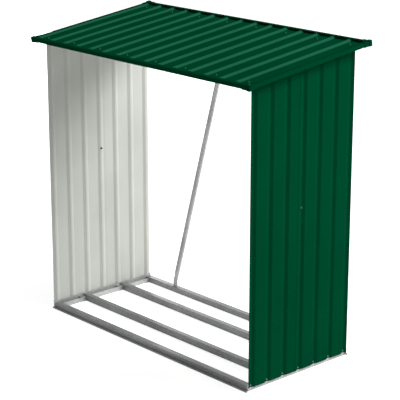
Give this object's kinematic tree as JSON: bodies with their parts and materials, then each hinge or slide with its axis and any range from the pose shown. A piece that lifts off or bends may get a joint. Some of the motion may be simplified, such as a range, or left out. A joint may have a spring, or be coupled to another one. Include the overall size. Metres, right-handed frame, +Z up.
{
  "type": "log store",
  "caption": "Open-fronted pressed-steel log store with ribbed side walls, a sloping ribbed roof, a rail base, floor beams and diagonal rear braces.",
  "frame": {"origin": "middle of the base on the ground", "axes": "+Z up, -Y towards the open front, +X to the right seen from the front"},
  "size_m": [1.8276, 0.9035, 1.7886],
  "materials": {
    "wall_sheet": "satin green paint outside, grey-cream back coat inside",
    "roof_sheet": "satin green paint on top, grey-cream back coat underneath",
    "painted_trim": "satin green paint",
    "galvanised": "bright galvanised steel",
    "cap_plastic": "moulded green plastic"
  },
  "bodies": {
    "root": {"front_base_rail": "galvanised", "front_floor_beam": "galvanised", "front_left_cap": "cap_plastic", "front_right_cap": "cap_plastic", "front_roof_beam": "galvanised", "front_roof_trim": "painted_trim", "left_base_rail": "galvanised", "left_rear_brace": "galvanised", "left_roof_sheet": "roof_sheet", "left_roof_trim": "painted_trim", "left_top_rail": "galvanised", "left_wall_front_sheet": "wall_sheet", "left_wall_rear_sheet": "wall_sheet", "middle_roof_sheet": "roof_sheet", "rear_base_rail": "galvanised", "rear_floor_beam": "galvanised", "rear_left_cap": "cap_plastic", "rear_right_cap": "cap_plastic", "rear_roof_beam": "galvanised", "rear_roof_trim": "painted_trim", "right_base_rail": "galvanised", "right_rear_brace": "galvanised", "right_roof_sheet": "roof_sheet", "right_roof_trim": "painted_trim", "right_top_rail": "galvanised", "right_wall_front_sheet": "wall_sheet", "right_wall_rear_sheet": "wall_sheet"}
  },
  "joints": []
}
